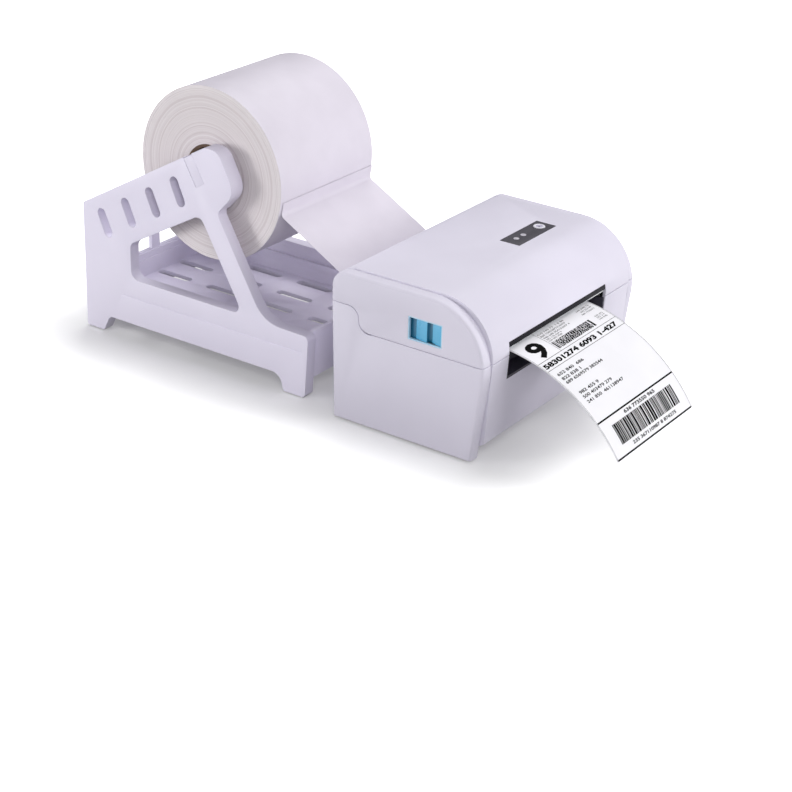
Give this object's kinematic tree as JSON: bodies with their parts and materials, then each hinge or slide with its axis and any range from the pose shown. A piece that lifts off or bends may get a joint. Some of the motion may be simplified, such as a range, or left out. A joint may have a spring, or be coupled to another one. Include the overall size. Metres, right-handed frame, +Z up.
{
  "type": "thermal label printer",
  "caption": "Desktop thermal label printer fed from a roll on a stand behind it, with hinged cover, side latches, geared platen and a printed label leaving the front slot.",
  "frame": {"origin": "on the desk, under the middle of the whole set of printer, web and roll stand", "axes": "+X across the paper, to the right as seen from the exit slot; +Y from the exit slot towards the roll stand; +Z up"},
  "size_m": [0.1964, 0.4366, 0.1992],
  "materials": {
    "housing": "fine-textured satin moulding",
    "bezel_dark": "satin moulding",
    "inner_grey": "satin moulding",
    "zinc_steel": "satin plated sheet and turned steel",
    "rubber_black": "matt",
    "board_green": "satin solder resist",
    "chip_black": "satin",
    "socket_steel": "bright",
    "gear_white": "satin",
    "bush_ivory": "satin",
    "motor_dark": "satin",
    "brass": "satin",
    "latch_blue": "satin",
    "latch_frame": "satin",
    "panel_dark": "satin",
    "button_white": "semi-gloss",
    "light_pipe": "clear, unlit",
    "ceramic": "glazed",
    "heat_aluminium": "extruded",
    "spring_steel": "bright",
    "stand": "fine-textured satin moulding",
    "bar_white": "satin moulding",
    "cardboard": "kraft board",
    "label_paper": "coated paper"
  },
  "bodies": {
    "printer_base": {"base_shell": "housing", "base_cheek_left": "housing", "base_cheek_right": "housing", "bottom_plate": "inner_grey", "bottom_screws": "zinc_steel", "rubber_feet": "rubber_black", "front_bezel": "bezel_dark", "media_deck": "inner_grey", "rear_guide_bar": "zinc_steel", "fixed_side_guide": "inner_grey", "gap_sensor": "chip_black", "main_board": "board_green", "board_components": "chip_black", "usb_socket": "socket_steel", "dc_inlet": "chip_black", "switch_frame": "chip_black", "side_frame_left": "zinc_steel", "side_frame_right": "zinc_steel", "platen_bushes": "bush_ivory", "idler_pin": "zinc_steel", "stepper_motor": "motor_dark", "hinge_pins": "zinc_steel", "latch_strikers": "zinc_steel", "stand_side_left": "stand", "stand_side_right": "stand", "stand_tray": "stand", "stand_screws": "zinc_steel", "stand_pads": "rubber_black", "spindle_bar": "bar_white", "label_web": "label_paper", "printed_label": "label_paper"},
    "cover": {"cover_shell": "housing", "cover_cheek_left": "housing", "cover_cheek_right": "housing", "latch_window_frames": "latch_frame", "control_panel": "panel_dark", "status_lights": "light_pipe", "panel_board": "board_green", "upper_bezel": "bezel_dark", "tear_bar": "zinc_steel", "head_frame": "inner_grey", "head_springs": "spring_steel"},
    "latch_left": {"latch_slider_left": "latch_blue", "latch_hook_left": "zinc_steel"},
    "latch_right": {"latch_slider_right": "latch_blue", "latch_hook_right": "zinc_steel"},
    "feed_button": {"feed_button": "button_white"},
    "print_head": {"printhead": "ceramic", "heat_sink": "heat_aluminium"},
    "power_rocker": {"switch_rocker": "chip_black"},
    "side_guide": {"sliding_side_guide": "inner_grey"},
    "platen": {"platen_shaft": "zinc_steel", "platen_rubber": "rubber_black", "platen_gear": "gear_white"},
    "idler": {"idler_gear": "gear_white"},
    "motor_rotor": {"motor_pinion": "brass"},
    "roll": {"roll_core": "cardboard", "label_roll": "label_paper"}
  },
  "joints": [
    {"name": "cover_hinge", "type": "hinge", "parent": "printer_base", "child": "cover", "pos_m": [0, -0.01672, 0.089], "axis": [-1, 0, 0], "range_deg": [0, 75]},
    {"name": "latch_left_slide", "type": "slide", "parent": "cover", "child": "latch_left", "axis": [0, 1, 0], "range_m": [0, 0.004], "stiffness_N_per_m": 200, "springref_m": -0.002},
    {"name": "latch_right_slide", "type": "slide", "parent": "cover", "child": "latch_right", "axis": [0, 1, 0], "range_m": [0, 0.004], "stiffness_N_per_m": 200, "springref_m": -0.002},
    {"name": "feed_button_press", "type": "slide", "parent": "cover", "child": "feed_button", "axis": [0, 0, -1], "range_m": [0, 0.001], "stiffness_N_per_m": 400, "springref_m": -0.001},
    {"name": "print_head_float", "type": "slide", "parent": "cover", "child": "print_head", "axis": [0, 0, 1], "range_m": [0, 0.0012], "stiffness_N_per_m": 3000, "springref_m": -0.001, "deforming": ["head_springs"]},
    {"name": "power_switch", "type": "hinge", "parent": "printer_base", "child": "power_rocker", "pos_m": [0.052, -0.01941, 0.0216], "axis": [-1, 0, 0], "range_deg": [0, 24]},
    {"name": "side_guide_slide", "type": "slide", "parent": "printer_base", "child": "side_guide", "axis": [1, 0, 0], "range_m": [0, 0.0177]},
    {"name": "roll_spin", "type": "hinge", "parent": "printer_base", "child": "roll", "pos_m": [-0.018, 0.11178, 0.137], "axis": [1, 0, 0], "continuous": true},
    {"name": "platen_spin", "type": "hinge", "parent": "printer_base", "child": "platen", "pos_m": [0, -0.10872, 0.06469], "axis": [1, 0, 0], "continuous": true},
    {"name": "idler_spin", "type": "hinge", "parent": "printer_base", "child": "idler", "pos_m": [0.0665, -0.08786, 0.05265], "axis": [1, 0, 0], "continuous": true},
    {"name": "motor_spin", "type": "hinge", "parent": "printer_base", "child": "motor_rotor", "pos_m": [0.06, -0.0771, 0.04296], "axis": [1, 0, 0], "continuous": true}
  ],
  "couplings": [
    {"joint": "platen_spin", "follows": "roll_spin", "ratio": 7.775},
    {"joint": "idler_spin", "follows": "roll_spin", "ratio": -11.662},
    {"joint": "motor_spin", "follows": "roll_spin", "ratio": 23.325}
  ]
}
